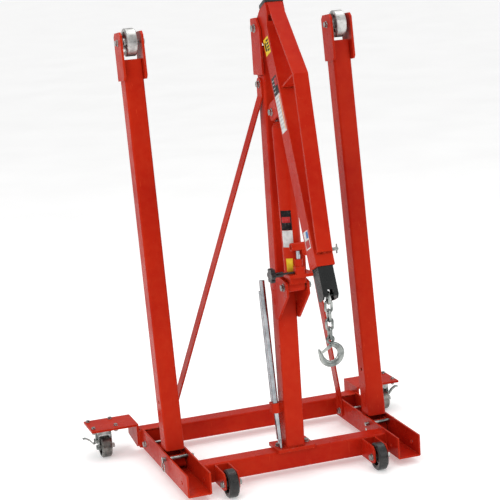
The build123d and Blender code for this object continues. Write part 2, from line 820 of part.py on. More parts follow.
with BuildPart() as boom_cap:
    with BuildSketch(boom_plane(-half_width - 1)):
        with BuildLine():
            FilletPolyline(
                (60, boom_head),
                (128, boom_head),
                (128, boom_head - 12),
                (66, boom_head - 12),
                radius=3,
                close=True,
            )
        make_face()
    extrude(amount=boom_width + 2)
save(boom_cap, "boom_end_cap")

with BuildPart() as truss:
    with BuildSketch(boom_plane(-truss_width / 2)):
        with BuildLine():
            Polyline(
                (125, boom_head),
                (truss_bend[1], truss_bend[0]),
                (truss_end[1], truss_end[0]),
                (boom_front, truss_end[0]),
                (boom_front, truss_end[0] - 10),
                (truss_end[1] - truss_thickness - 2, truss_end[0] - 10),
                (truss_bend[1] - truss_thickness - 1, truss_bend[0]),
                (125, boom_head + 22),
                close=True,
            )
        make_face()
    extrude(amount=truss_width)
save(truss, "boom_truss")

with BuildPart() as truss_strut:
    with BuildSketch(boom_plane(-truss_width / 2)):
        with Locations(((boom_front + truss_bend[1] - truss_thickness - 3) / 2, truss_bend[0])):
            Rectangle(truss_bend[1] - truss_thickness - 3 - boom_front, 6)
    extrude(amount=truss_width)
save(truss_strut, "boom_strut")

lug_half_gap = 24.0
lug_thickness = 7.0
lug_radius = 30.0
tilt = math.radians(boom_angle)
lug_along = -(lug_y - boom_pivot_y) * math.cos(tilt) - (lug_z - boom_pivot_z) * math.sin(tilt)
lug_out = -(lug_y - boom_pivot_y) * math.sin(tilt) + (lug_z - boom_pivot_z) * math.cos(tilt)

with BuildPart() as boom_lugs:
    for side in sides.values():
        with BuildSketch(boom_plane(side * lug_half_gap)):
            with Locations((lug_out, lug_along)):
                Circle(lug_radius)
            with Locations(((lug_out + boom_rear) / 2, lug_along)):
                Rectangle(boom_rear - lug_out, 2 * lug_radius)
            with Locations((lug_out, lug_along)):
                Circle(8.06, mode=Mode.SUBTRACT)
        extrude(amount=side * lug_thickness)
save(boom_lugs, "boom_lugs")

# the pin's two ends; the ram's eye turns on them
with BuildPart() as lug_pin:
    outer = lug_half_gap + lug_thickness
    rod(-outer - 2, -lug_half_gap, lug_y, lug_z, 8)
    rod(-outer - 2, -outer, lug_y, lug_z, 13)
    hexagon(-outer - 10, -outer - 2, lug_y, lug_z, 11)
    rod(lug_half_gap, outer + 13, lug_y, lug_z, 8)
    rod(outer, outer + 2, lug_y, lug_z, 13)
    hexagon(outer + 2, outer + 10, lug_y, lug_z, 11)
save(lug_pin, "ram_top_pin")

# ---------------------------------------------------------------- jib, chain and hook
jib_centre = (boom_rear + boom_front) / 2
jib_wall = 5.0
hanger = boom_point(hanger_along, jib_centre - 3)
hanger_radius = 5.0

with BuildPart() as jib:
    with BuildSketch(boom_plane(-jib_size / 2)):
        with BuildLine():
            FilletPolyline(
                (jib_centre - jib_size / 2, jib_start),
                (jib_centre + jib_size / 2, jib_start),
                (jib_centre + jib_size / 2, jib_end - 12),
                (jib_centre + jib_size / 2 - 12, jib_end),
                (jib_centre - jib_size / 2, jib_end),
                radius=2,
                close=True,
            )
        make_face()
    extrude(amount=jib_size)
    with BuildSketch(boom_plane(-jib_size / 2 + jib_wall)):
        with Locations((jib_centre, (jib_start + jib_end) / 2)):
            Rectangle(jib_size - 2 * jib_wall, jib_end - jib_start + 80)
    extrude(amount=jib_size - 2 * jib_wall, mode=Mode.SUBTRACT)
    for (width, along), half in ((jib_front_notch, 0.5), (jib_rear_notch, -0.5)):
        with BuildSketch(boom_plane(-width / 2)):
            with Locations((jib_centre + half * (jib_size / 2 + 10), (along + jib_end) / 2 + 20)):
                Rectangle(jib_size / 2 + 10, jib_end - along + 40)
        extrude(amount=width, mode=Mode.SUBTRACT)
    rod(-jib_size / 2, jib_size / 2, hanger[0], hanger[1], hanger_radius)
save(jib, "jib")

link_wire = 4.3            # radius of the chain's wire
link_half_length = 19.6    # to the middle of the wire
link_half_width = 11.0
link_gap = 0.4
link_count = 5
chain_step = 2 * link_half_length - 2 * link_wire - link_gap
first_link_z = hanger[1] + hanger_radius + link_gap + link_wire - link_half_length

with BuildPart() as chain:
    for index in range(link_count):
        half = link_half_length - link_half_width
        middle = (0, hanger[0], first_link_z - index * chain_step)
        turned = index % 2 == 1
        across = (1, 0, 0) if turned else (0, 1, 0)
        facing = (0, -1, 0) if turned else (1, 0, 0)
        plane = Plane(origin=middle, x_dir=across, z_dir=facing)
        with BuildLine(plane) as link_path:
            Line((link_half_width, -half), (link_half_width, half))
            CenterArc((0, half), link_half_width, 0, 180)
            Line((-link_half_width, half), (-link_half_width, -half))
            CenterArc((0, -half), link_half_width, 180, 180)
        start = plane.from_local_coords((link_half_width, -half, 0))
        with BuildSketch(Plane(origin=start, z_dir=(0, 0, 1))):
            Circle(link_wire)
        sweep(path=link_path.wires()[0])
save(chain, "hoist_chain")

eye_radius = 11.0
eye_wire = 4.5
hook_thickness = 14.0
last_link_z = first_link_z - (link_count - 1) * chain_step
last_link_bottom = last_link_z - link_half_length
eye_z = last_link_bottom + link_wire + link_gap + eye_wire - eye_radius
hook_y = hanger[0]

with BuildPart() as hook:
    with BuildSketch(Plane(origin=(0, hook_y + hook_thickness / 2, eye_z), x_dir=(1, 0, 0), z_dir=(0, -1, 0))):
        with BuildLine():
            Spline((7.6, -10.1), (23.8, -16.8), (40, -26.9), (48.6, -47), tangents=((1, -0.2), (0, -1)))
            ThreePointArc((48.6, -47), (34.6, -79.5), (2.2, -94.1))
            ThreePointArc((2.2, -94.1), (-32.4, -80.6), (-46.4, -49.3))
            Spline((-46.4, -49.3), (-48.6, -35.8), (-44.3, -24.6), tangents=((0, 1), (0.5, 1)))
            Line((-44.3, -24.6), (-37.8, -28))
            Spline((-37.8, -28), (-31.3, -38.1), (-22.7, -47), tangents=((0.3, -1), (0.4, -1)))
            ThreePointArc((-22.7, -47), (0, -68.3), (22.7, -44.8))
            Spline((22.7, -44.8), (13, -26.9), (-7.6, -13.4), tangents=((0, 1), (-1, 0.5)))
            Line((-7.6, -13.4), (-7.6, -10.1))
            Line((-7.6, -10.1), (7.6, -10.1))
        make_face()
    extrude(amount=hook_thickness)
    with BuildSketch(Plane(origin=(0, hook_y, eye_z), x_dir=(1, 0, 0), z_dir=(0, 0, 1))):
        with Locations((eye_radius, 0)):
            Circle(eye_wire)
    revolve(axis=Axis((0, hook_y, eye_z), (0, 1, 0)))
save(hook, "hook")

latch_x = -3.0
latch_z = eye_z - 20.0
with BuildPart() as latch:
    with BuildSketch(Plane(origin=(0, hook_y - hook_thickness / 2 - 0.4, 0), x_dir=(1, 0, 0), z_dir=(0, -1, 0))):
        with BuildLine():
            Polyline(
                (latch_x - 4, latch_z + 6),
                (latch_x + 4, latch_z + 6),
                (latch_x + 4, latch_z - 4),
                (-35, eye_z - 43),
                (-39, eye_z - 36),
                close=True,
            )
        make_face()
    extrude(amount=1.6)
save(latch, "hook_latch")

# ---------------------------------------------------------------- hydraulic ram
ram_dy = lug_y - ram_base_y
ram_dz = lug_z - ram_base_z
ram_length = math.hypot(ram_dy, ram_dz)
ram_lean = math.degrees(math.atan2(ram_dy, ram_dz))


def ram_point(along):
    """Y and Z of a point on the ram's axis."""
    return ram_base_y + along * ram_dy / ram_length, ram_base_z + along * ram_dz / ram_length


with BuildPart() as ram_cylinder:
    start = ram_point(28)
    with BuildSketch(tube_plane(0, start[0], start[1], ram_lean)):
        Circle(ram_cylinder_radius)
    extrude(amount=ram_body_length - 28)
    # the domed head, in three steps
    for along, radius in ((ram_body_length, 31), (ram_body_length + 7, 27), (ram_body_length + 13, 21)):
        neck = ram_point(along)
        with BuildSketch(tube_plane(0, neck[0], neck[1], ram_lean)):
            Circle(radius)
        extrude(amount=7)
    bottom = ram_point(60)
    with BuildSketch(tube_plane(0, bottom[0], bottom[1], ram_lean)):
        Circle(ram_rod_radius + 0.06)
    extrude(amount=ram_body_length, mode=Mode.SUBTRACT)
save(ram_cylinder, "ram_cylinder")

pump_front = 50.0
block_low = ram_point(28)
pump_y = block_low[0] - pump_front
slab_along = 38.0
slab_thickness = 11.0
release_z = 779.0
lever_z = 868.0
lever_pivot_x = 24.0
lever_pivot_z = 848.0
plunger_radius = 7.0

with BuildPart() as ram_base:
    # foot block between the ears, and the slab above them that carries the pump
    with BuildSketch(tube_plane(0, *ram_point(14), ram_lean)):
        RectangleRounded(60, 84, 8)
    extrude(amount=slab_along - 14)
    with BuildSketch(tube_plane(0, *ram_point(slab_along), ram_lean)):
        with Locations((8, -14)):
            RectangleRounded(96, 108, 8)
    extrude(amount=slab_thickness)
    with BuildSketch(tilted_plane(-30, ram_base_y, ram_base_z, ram_lean)):
        Circle(18)
        with Locations((0, 10)):
            Rectangle(36, 20)
        Circle(ram_base_radius + 0.06, mode=Mode.SUBTRACT)
    extrude(amount=60)
    with BuildSketch(Plane(origin=(0, pump_y, ram_base_z + slab_along + 4), z_dir=(0, 0, 1))):
        RectangleRounded(34, 34, 6)
    extrude(amount=38)
    with BuildSketch(Plane(origin=(0, pump_y, ram_base_z + 60), z_dir=(0, 0, 1))):
        Circle(14)
    extrude(amount=46)
    # post beside the plunger, with the stub that the lever turns on
    with BuildSketch(Plane(origin=(lever_pivot_x, pump_y + 20, ram_base_z + 44), z_dir=(0, 0, 1))):
        Rectangle(16, 10)
    extrude(amount=lever_pivot_z - ram_base_z - 34)
    with BuildSketch(Plane(origin=(lever_pivot_x, pump_y + 25, lever_pivot_z), z_dir=(0, -1, 0))):
        Circle(6)
    extrude(amount=38)
    with BuildSketch(Plane(origin=(0, pump_y, ram_base_z + 50), z_dir=(0, 0, 1))):
        Circle(plunger_radius + 0.06)
    extrude(amount=80, mode=Mode.SUBTRACT)
    with BuildSketch(side_plane(-60)):
        with Locations((pump_y, release_z)):
            Circle(4.06)
    extrude(amount=52, mode=Mode.SUBTRACT)
    with BuildSketch(tube_plane(0, *ram_point(28), ram_lean)):
        Circle(ram_cylinder_radius)
    extrude(amount=120, mode=Mode.SUBTRACT)
save(ram_base, "ram_base")

with BuildPart() as pump_plunger:
    with BuildSketch(Plane(origin=(0, pump_y, ram_base_z + 56), z_dir=(0, 0, 1))):
        Circle(plunger_radius)
    extrude(amount=lever_z - 14.5 - ram_base_z - 56)
save(pump_plunger, "pump_plunger")

with BuildPart() as lever_socket:
    with BuildSketch(side_plane(-26)):
        with Locations((pump_y, lever_z)):
            Circle(14)
    extrude(amount=66)
    with BuildSketch(Plane(origin=(lever_pivot_x, pump_y - 12, lever_pivot_z), x_dir=(1, 0, 0), z_dir=(0, -1, 0))):
        Circle(12)
        with Locations((0, 12)):
            Rectangle(24, 24)
        Circle(6.06, mode=Mode.SUBTRACT)
    extrude(amount=-16)
    with BuildSketch(side_plane(-26)):
        with Locations((pump_y, lever_z)):
            Circle(10.2)
    extrude(amount=54, mode=Mode.SUBTRACT)
save(lever_socket, "lever_socket")

knob_outer_x = -108.0
with BuildPart() as release_knob:
    with BuildSketch(side_plane(knob_outer_x)):
        with Locations((pump_y, release_z)):
            Circle(20)
            with PolarLocations(19, 6):
                Circle(7.5)
    extrude(amount=15)
    rod(knob_outer_x + 14, -60, pump_y, release_z, 9)
    rod(-62, -12, pump_y, release_z, 4)
save(release_knob, "release_knob")

with BuildPart() as ram_rod:
    with BuildSketch(tube_plane(0, *ram_point(64), ram_lean)):
        Circle(ram_rod_radius)
    extrude(amount=ram_length - 64 - 30)
    with BuildSketch(tilted_plane(-19, lug_y, lug_z, ram_lean)):
        Circle(19)
        with Locations((0, -16)):
            Rectangle(28, 32)
        Circle(8.2, mode=Mode.SUBTRACT)
    extrude(amount=38)
save(ram_rod, "ram_rod")

# ---------------------------------------------------------------- stored pump handle
handle_bottom = Vector(-55, datum_y - 203, base_plate_top_z + 1)
handle_top = Vector(-68, datum_y - 152, 717)
handle_axis = (handle_top - handle_bottom).normalized()
handle_length = (handle_top - handle_bottom).length
handle_radius = 10.0
clip_along = 130.0
clip_height = 36.0
extension_step = Vector(0, 25, 0)
clip_base = handle_bottom + handle_axis * clip_along

with BuildPart() as handle:
    with BuildSketch(Plane(origin=handle_bottom + handle_axis * 34, z_dir=handle_axis)):
        Circle(handle_radius)
    extrude(amount=handle_length - 34)
    with BuildSketch(Plane(origin=handle_bottom, x_dir=(1, 0, 0), z_dir=handle_axis)):
        RectangleRounded(6, 20, 2)
    with BuildSketch(Plane(origin=handle_bottom + handle_axis * 34, x_dir=(1, 0, 0), z_dir=handle_axis)):
        RectangleRounded(12, 15.8, 2)
    loft()
save(handle, "pump_handle")

with BuildPart() as extension:
    with BuildSketch(Plane(origin=clip_base + handle_axis * (clip_height + 1) + extension_step, z_dir=handle_axis)):
        Circle(8)
        Circle(6, mode=Mode.SUBTRACT)
    extrude(amount=400)
save(extension, "handle_extension")

with BuildPart() as clip:
    with BuildSketch(Plane(origin=clip_base, x_dir=(1, 0, 0), z_dir=handle_axis)):
        Circle(handle_radius + 5)
        with Locations((12, 5)):
            Rectangle(22, 20)
        with Locations((0, 20)):
            Rectangle(26, 24)
        Circle(handle_radius + 0.5, mode=Mode.SUBTRACT)
    extrude(amount=clip_height)
    with BuildSketch(side_plane(-tube_size / 2)):
        with Locations((mast_y, 250)):
            Rectangle(120, 160)
    extrude(amount=60, mode=Mode.SUBTRACT)
save(clip, "handle_clip")
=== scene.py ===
import json
import math
import random

import bpy
from mathutils import Matrix, Vector


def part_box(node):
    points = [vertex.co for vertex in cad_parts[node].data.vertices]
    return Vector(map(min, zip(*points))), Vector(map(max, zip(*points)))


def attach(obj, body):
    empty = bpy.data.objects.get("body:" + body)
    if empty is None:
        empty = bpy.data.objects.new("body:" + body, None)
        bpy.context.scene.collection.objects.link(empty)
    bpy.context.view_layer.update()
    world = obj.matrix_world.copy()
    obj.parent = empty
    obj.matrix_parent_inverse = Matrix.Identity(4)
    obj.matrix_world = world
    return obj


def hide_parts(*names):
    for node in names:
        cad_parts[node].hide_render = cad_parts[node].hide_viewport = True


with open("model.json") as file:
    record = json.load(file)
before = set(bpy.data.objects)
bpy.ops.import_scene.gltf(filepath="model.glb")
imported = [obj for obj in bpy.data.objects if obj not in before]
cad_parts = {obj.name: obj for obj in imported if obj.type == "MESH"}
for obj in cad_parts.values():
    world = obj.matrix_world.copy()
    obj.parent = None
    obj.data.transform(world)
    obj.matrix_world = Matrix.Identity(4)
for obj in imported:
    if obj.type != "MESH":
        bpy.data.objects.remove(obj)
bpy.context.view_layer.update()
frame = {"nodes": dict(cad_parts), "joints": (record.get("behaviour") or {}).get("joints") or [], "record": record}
nodes = frame["nodes"]
rng = random.Random(7)


# ---------------------------------------------------------------- materials
class Graph:
    """A node tree with short ways to add and join nodes."""

    def __init__(self, name):
        self.material = bpy.data.materials.new(name)
        self.material.use_nodes = True
        self.tree = self.material.node_tree
        self.shader = self.tree.nodes["Principled BSDF"]
        coordinates = self.add("ShaderNodeTexCoord")
        self.place = coordinates.outputs["Object"]

    def add(self, kind, **inputs):
        node = self.tree.nodes.new(kind)
        for key, value in inputs.items():
            self.put(node.inputs[key], value)
        return node

    def put(self, socket, value):
        if isinstance(value, bpy.types.NodeSocket):
            self.tree.links.new(value, socket)
        else:
            socket.default_value = value

    def stretched(self, scale, turn=(0, 0, 0)):
        mapping = self.add("ShaderNodeMapping", Vector=self.place, Scale=scale, Rotation=turn)
        return mapping.outputs["Vector"]

    def noise(self, scale, detail, where=None):
        place = where or self.place
        node = self.add("ShaderNodeTexNoise", Vector=place, Scale=scale, Detail=detail)
        return node.outputs["Fac"]

    def ramp(self, value, low, high, low_to=0.0, high_to=1.0):
        """value, taken smoothly from the range low..high to low_to..high_to."""
        node = self.add("ShaderNodeMapRange", Value=value)
        node.interpolation_type = "SMOOTHSTEP"
        ends = {"From Min": low, "From Max": high, "To Min": low_to, "To Max": high_to}
        for key, number in ends.items():
            node.inputs[key].default_value = number
        return node.outputs["Result"]

    def math(self, operation, a, b):
        node = self.tree.nodes.new("ShaderNodeMath")
        node.operation = operation
        node.use_clamp = True
        self.put(node.inputs[0], a)
        self.put(node.inputs[1], b)
        return node.outputs[0]

    def mix(self, factor, a, b):
        """A colour between a and b. Sockets 6, 7 and 2 are the node's colour ones."""
        node = self.tree.nodes.new("ShaderNodeMix")
        node.data_type = "RGBA"
        self.put(node.inputs[0], factor)
        self.put(node.inputs[6], a)
        self.put(node.inputs[7], b)
        return node.outputs[2]

    def rounded(self, radius):
        """Normals that round every edge off by radius."""
        node = self.tree.nodes.new("ShaderNodeBevel")
        node.samples = 4
        node.inputs["Radius"].default_value = radius
        return node.outputs["Normal"]

    def edges(self, radius):
        """1 along the outer edges, 0 on the flats."""
        soft = self.rounded(radius)
        true = self.add("ShaderNodeNewGeometry").outputs["Normal"]
        dot = self.tree.nodes.new("ShaderNodeVectorMath")
        dot.operation = "DOT_PRODUCT"
        self.put(dot.inputs[0], soft)
        self.put(dot.inputs[1], true)
        return self.ramp(dot.outputs["Value"], 0.985, 0.9)

    def bump(self, *layers, normal=None):
        """Lay (height, depth in metres) layers over each other, on top of normal."""
        for height, distance in layers:
            node = self.add("ShaderNodeBump", Height=height, Distance=distance, Strength=1.0)
            if normal is not None:
                self.put(node.inputs["Normal"], normal)
            normal = node.outputs["Normal"]
        self.put(self.shader.inputs["Normal"], normal)

    def finish(self, colour, roughness, **constants):
        """Join colour and roughness to the shader, set its constants, return the material."""
        self.put(self.shader.inputs["Base Color"], colour)
        self.put(self.shader.inputs["Roughness"], roughness)
        for key, value in constants.items():
            self.shader.inputs[key.replace("_", " ")].default_value = value
        return self.material


def rgb(red, green, blue):
    return (red, green, blue, 1.0)


def scratches(g, along, across, turn):
    """Thin scratches: a noise drawn out along one way and kept only at its peaks."""
    drawn = g.noise(1.0, 2.0, where=g.stretched((across, across, along), turn))
    broken = g.ramp(g.noise(9.0, 2.0), 0.5, 0.62)
    return g.math("MULTIPLY", g.ramp(drawn, 0.69, 0.73), broken)


def paint(name, base, deep, pale, chip, gloss, shine, tint):
    """Sprayed paint: mottled colour, a painted highlight along the edges, scratches, chips and an orange-peel
    skin.
    """
    g = Graph(name)
    broad = g.ramp(g.noise(3.1, 3.0), 0.3, 0.7)
    mottled = g.ramp(g.noise(38.0, 5.0), 0.35, 0.7)
    colour = g.mix(broad, base, deep)
    colour = g.mix(g.math("MULTIPLY", mottled, 0.07), colour, pale)
    edge = g.edges(0.0022)
    # painted highlight: every edge is mixed towards the pale colour
    colour = g.mix(g.math("MULTIPLY", edge, 0.6), colour, pale)
    long_marks = scratches(g, 5.0, 220.0, (0.3, 0.2, 0.0))
    cross_marks = scratches(g, 6.0, 260.0, (1.4, 0.1, 0.6))
    marks = g.math("ADD", long_marks, cross_marks)
    colour = g.mix(g.math("MULTIPLY", marks, 0.45), colour, pale)
    specks = g.ramp(g.noise(210.0, 2.0), 0.76, 0.79)
    worn = g.math("MULTIPLY", edge, g.ramp(g.noise(70.0, 4.0), 0.6, 0.66))
    bare = g.math("MAXIMUM", worn, g.math("MULTIPLY", specks, 0.5))
    colour = g.mix(bare, colour, chip)
    dust = g.math("MULTIPLY", g.ramp(g.noise(14.0, 5.0), 0.45, 0.75), 0.025)
    colour = g.mix(dust, colour, pale)
    rough = g.ramp(g.noise(17.0, 4.0), 0.3, 0.75, gloss - 0.06, gloss + 0.13)
    rough = g.math("ADD", rough, g.math("MULTIPLY", g.math("MAXIMUM", bare, marks), 0.25))
    fine_skin = (g.noise(420.0, 2.0), 0.00006)
    broad_skin = (g.noise(60.0, 3.0), 0.00018)
    g.bump(fine_skin, broad_skin, normal=g.rounded(0.0016))
    return g.finish(
        colour,
        rough,
        Coat_Weight=0.03,
        Coat_Roughness=0.12,
        Specular_IOR_Level=shine,
        Specular_Tint=tint,
    )


def metal(name, base, deep, rough, grain):
    """Plated metal: two tones, dull blotches, a painted highlight along the edges and fine scratches."""
    g = Graph(name)
    colour = g.mix(g.ramp(g.noise(26.0, 5.0), 0.35, 0.7), base, deep)
    blotch = g.math("MULTIPLY", g.ramp(g.noise(95.0, 4.0), 0.5, 0.72), 0.3)
    colour = g.mix(blotch, colour, rgb(deep[0] * 0.55, deep[1] * 0.5, deep[2] * 0.45))
    # painted highlight: the edges are mixed towards near-white
    colour = g.mix(g.math("MULTIPLY", g.edges(0.001), 0.5), colour, rgb(0.92, 0.92, 0.9))
    marks = scratches(g, 12.0, 420.0, (0.2, 1.1, 0.0))
    smooth = g.ramp(g.noise(55.0, 4.0), 0.3, 0.75, rough - 0.07, rough + 0.14)
    roughness = g.math("ADD", smooth, marks)
    g.bump((g.noise(grain, 3.0), 0.00008), normal=g.rounded(0.0008))
    return g.finish(colour, roughness, Metallic=1.0)


def turned(name, base, deep, rough, stain):
    """Machined steel: fine rings from the tool, oil stains, small pits and a painted highlight along the edges."""
    g = Graph(name)
    rings = g.noise(1.0, 2.0, where=g.stretched((900.0, 60.0, 60.0)))
    colour = g.mix(g.ramp(g.noise(34.0, 5.0), 0.35, 0.7), base, deep)
    colour = g.mix(g.math("MULTIPLY", g.ramp(rings, 0.35, 0.7), 0.35), colour, deep)
    grime = g.math("MULTIPLY", g.ramp(g.noise(80.0, 5.0), 0.5, 0.7), stain)
    colour = g.mix(grime, colour, rgb(0.09, 0.075, 0.06))
    # painted highlight: the edges are mixed towards pale grey
    colour = g.mix(g.math("MULTIPLY", g.edges(0.0014), 0.5), colour, rgb(0.85, 0.85, 0.83))
    roughness = g.ramp(g.noise(48.0, 4.0), 0.3, 0.75, rough - 0.08, rough + 0.14)
    g.bump((rings, 0.0001), (g.noise(160.0, 3.0), 0.00012), normal=g.rounded(0.001))
    return g.finish(colour, roughness, Metallic=0.9)


def rubber(name, base, dusty, rough):
    """Rubber or moulded plastic: dusty patches, scuffs, a painted highlight along the edges and a grained skin."""
    g = Graph(name)
    colour = g.mix(g.ramp(g.noise(22.0, 5.0), 0.4, 0.72), base, dusty)
    scuff = g.math("MULTIPLY", g.ramp(g.noise(130.0, 4.0), 0.55, 0.7), 0.3)
    colour = g.mix(scuff, colour, rgb(0.045, 0.043, 0.04))
    # painted highlight: the edges are mixed towards a lighter grey
    colour = g.mix(g.math("MULTIPLY", g.edges(0.002), 0.4), colour, rgb(0.07, 0.07, 0.068))
    roughness = g.ramp(g.noise(40.0, 3.0), 0.3, 0.7, rough - 0.1, rough + 0.12)
    fine_skin = (g.noise(320.0, 3.0), 0.00018)
    broad_skin = (g.noise(50.0, 3.0), 0.0003)
    g.bump(fine_skin, broad_skin, normal=g.rounded(0.0014))
    return g.finish(colour, roughness)


def print_film(name, base, deep):
    """A blank printed film, rubbed in places."""
    g = Graph(name)
    colour = g.mix(g.ramp(g.noise(45.0, 4.0), 0.35, 0.7), base, deep)
    rub = g.math("MULTIPLY", g.ramp(g.noise(180.0, 4.0), 0.58, 0.68), 0.16)
    colour = g.mix(rub, colour, rgb(0.3, 0.28, 0.27))
    roughness = g.ramp(g.noise(60.0, 3.0), 0.3, 0.7, 0.24, 0.44)
    g.bump((g.noise(150.0, 2.0), 0.00008))
    return g.finish(colour, roughness, Specular_IOR_Level=0.08)


def pale_floor():
    """A near-white floor that glows a little, so that the shadows on it stay pale."""
    g = Graph("floor_pale")
    cloud = g.ramp(g.noise(1.3, 3.0), 0.3, 0.7)
    colour = g.mix(cloud, rgb(0.87, 0.87, 0.865), rgb(0.83, 0.83, 0.825))
    g.bump((g.noise(90.0, 3.0), 0.0001))
    rough = g.ramp(g.noise(4.0, 3.0), 0.3, 0.7, 0.5, 0.62)
    return g.finish(colour, rough, Emission_Color=rgb(1.0, 1.0, 1.0), Emission_Strength=0.32)


# each paint's pale colour also serves as its painted highlight along the edges
looks = {
    "red_paint": paint(
        "red_paint_look",
        base=rgb(0.47, 0.020, 0.006),
        deep=rgb(0.38, 0.010, 0.004),
        pale=rgb(0.66, 0.085, 0.030),
        chip=rgb(0.30, 0.20, 0.18),
        gloss=0.29,
        shine=0.06,
        tint=rgb(1.0, 0.62, 0.42),
    ),
    "black_paint": paint(
        "black_paint_look",
        base=rgb(0.005, 0.006, 0.006),
        deep=rgb(0.003, 0.0035, 0.0035),
        pale=rgb(0.035, 0.04, 0.038),
        chip=rgb(0.16, 0.16, 0.15),
        gloss=0.2,
        shine=0.25,
        tint=rgb(1.0, 1.0, 1.0),
    ),
    "zinc": metal("zinc_look", rgb(0.43, 0.45, 0.43), rgb(0.13, 0.145, 0.14), 0.26, 240.0),
    "steel_wheel": turned(
        "wheel_steel_look", rgb(0.60, 0.60, 0.58), rgb(0.36, 0.36, 0.35), 0.34, 0.3
    ),
    "hub_steel": turned(
        "hub_steel_look", rgb(0.12, 0.12, 0.115), rgb(0.05, 0.05, 0.05), 0.36, 0.5
    ),
    "chrome": metal("chrome_look", rgb(0.44, 0.46, 0.48), rgb(0.26, 0.28, 0.30), 0.18, 90.0),
    "tyre": rubber("tyre_look", rgb(0.005, 0.005, 0.005), rgb(0.014, 0.0135, 0.013), 0.3),
    "black_plastic": rubber(
        "black_plastic_look", rgb(0.006, 0.006, 0.007), rgb(0.014, 0.014, 0.014), 0.3
    ),
}
caster_steel = turned(
    "caster_steel_look", rgb(0.25, 0.24, 0.22), rgb(0.09, 0.09, 0.085), 0.3, 0.5
)
# near-black discs for the leg wheels' web holes: painted shade in place of the holes
painted_hole_shade = rubber(
    "painted_hole_shade_look", rgb(0.004, 0.004, 0.004), rgb(0.012, 0.010, 0.009), 0.7
)
film_yellow = print_film("film_yellow_look", rgb(0.78, 0.55, 0.03), rgb(0.62, 0.42, 0.02))
film_white = print_film("film_white_look", rgb(0.66, 0.66, 0.65), rgb(0.52, 0.52, 0.51))
film_grey = print_film("film_grey_look", rgb(0.48, 0.48, 0.49), rgb(0.40, 0.40, 0.41))
film_black = print_film("film_black_look", rgb(0.008, 0.008, 0.009), rgb(0.018, 0.017, 0.017))
film_orange = print_film("film_orange_look", rgb(0.80, 0.22, 0.015), rgb(0.66, 0.16, 0.01))
film_red = print_film("film_red_look", rgb(0.45, 0.03, 0.03), rgb(0.35, 0.02, 0.02))
film_blue = print_film("film_blue_look", rgb(0.05, 0.17, 0.42), rgb(0.04, 0.12, 0.32))

for entry in frame["record"]["subparts"]:
    shown = nodes[entry["node"]]
    shown.data.materials.clear()
    is_caster = entry["node"].endswith("caster_wheel")
    shown.data.materials.append(caster_steel if is_caster else looks[entry["material_slot"]])


# ---------------------------------------------------------------- shapes
def add_mesh(name, points, faces, look, body, smooth=True):
    mesh = bpy.data.meshes.new(name)
    mesh.from_pydata([tuple(p) for p in points], [], faces)
    mesh.validate()
    mesh.update()
    for face in mesh.polygons:
        face.use_smooth = smooth
    piece = bpy.data.objects.new(name, mesh)
    bpy.context.scene.collection.objects.link(piece)
    piece.data.materials.append(look)
    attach(piece, body)
    return piece


def square_axes(axis):
    """Two directions square to axis and to each other."""
    axis = Vector(axis).normalized()
    helper = Vector((0, 0, 1)) if abs(axis.z) < 0.9 else Vector((0, 1, 0))
    across = helper.cross(axis).normalized()
    return across, axis.cross(across)


def ring_faces(rings, steps, closed=False):
    """The faces between rings of steps points each; closed joins the last ring to the first."""
    faces = []
    for i in range(rings if closed else rings - 1):
        low = i * steps
        high = ((i + 1) % rings) * steps
        for k in range(steps):
            nxt = (k + 1) % steps
            faces.append((low + k, low + nxt, high + nxt, high + k))
    return faces


def lathe(name, body, look, origin, axis, profile, steps):
    """A turned shape with a disc at each end. profile holds (distance along axis, radius) pairs."""
    across, up = square_axes(axis)
    axis = Vector(axis).normalized()
    points = []
    for along, radius in profile:
        for k in range(steps):
            angle = 2 * math.pi * k / steps
            spoke = across * math.cos(angle) + up * math.sin(angle)
            points.append(Vector(origin) + axis * along + spoke * radius)
    faces = ring_faces(len(profile), steps)
    faces.append(tuple(reversed(range(steps))))
    faces.append(tuple(range((len(profile) - 1) * steps, len(profile) * steps)))
    piece = add_mesh(name, points, faces, look, body)
    for face in piece.data.polygons:
        if len(face.vertices) > 4:
            face.use_smooth = False
    return piece


def hoop(name, body, look, origin, axis, profile):
    """A turned ring. profile is a closed loop of (distance along axis, radius) pairs."""
    across, up = square_axes(axis)
    axis = Vector(axis).normalized()
    steps = 64
    points = []
    for k in range(steps):
        angle = 2 * math.pi * k / steps
        spoke = across * math.cos(angle) + up * math.sin(angle)
        for along, radius in profile:
            points.append(Vector(origin) + axis * along + spoke * radius)
    faces = ring_faces(steps, len(profile), closed=True)
    return add_mesh(name, points, faces, look, body)


def sweep(name, body, look, path, radii, steps, squash=1.0, flat=(1, 0, 0)):
    """A bar along path, with a radius at each point. squash thins it along flat."""
    points = []
    count = len(path)
    flat = Vector(flat).normalized()
    for i, point in enumerate(path):
        before = path[max(i - 1, 0)]
        after = path[min(i + 1, count - 1)]
        along = (Vector(after) - Vector(before)).normalized()
        side = (flat - along * flat.dot(along)).normalized()
        up = along.cross(side)
        for k in range(steps):
            angle = 2 * math.pi * k / steps
            offset = side * math.cos(angle) * squash + up * math.sin(angle)
            points.append(Vector(point) + offset * radii[i])
    faces = ring_faces(count, steps)
    faces.append(tuple(reversed(range(steps))))
    faces.append(tuple(range((count - 1) * steps, count * steps)))
    return add_mesh(name, points, faces, look, body)


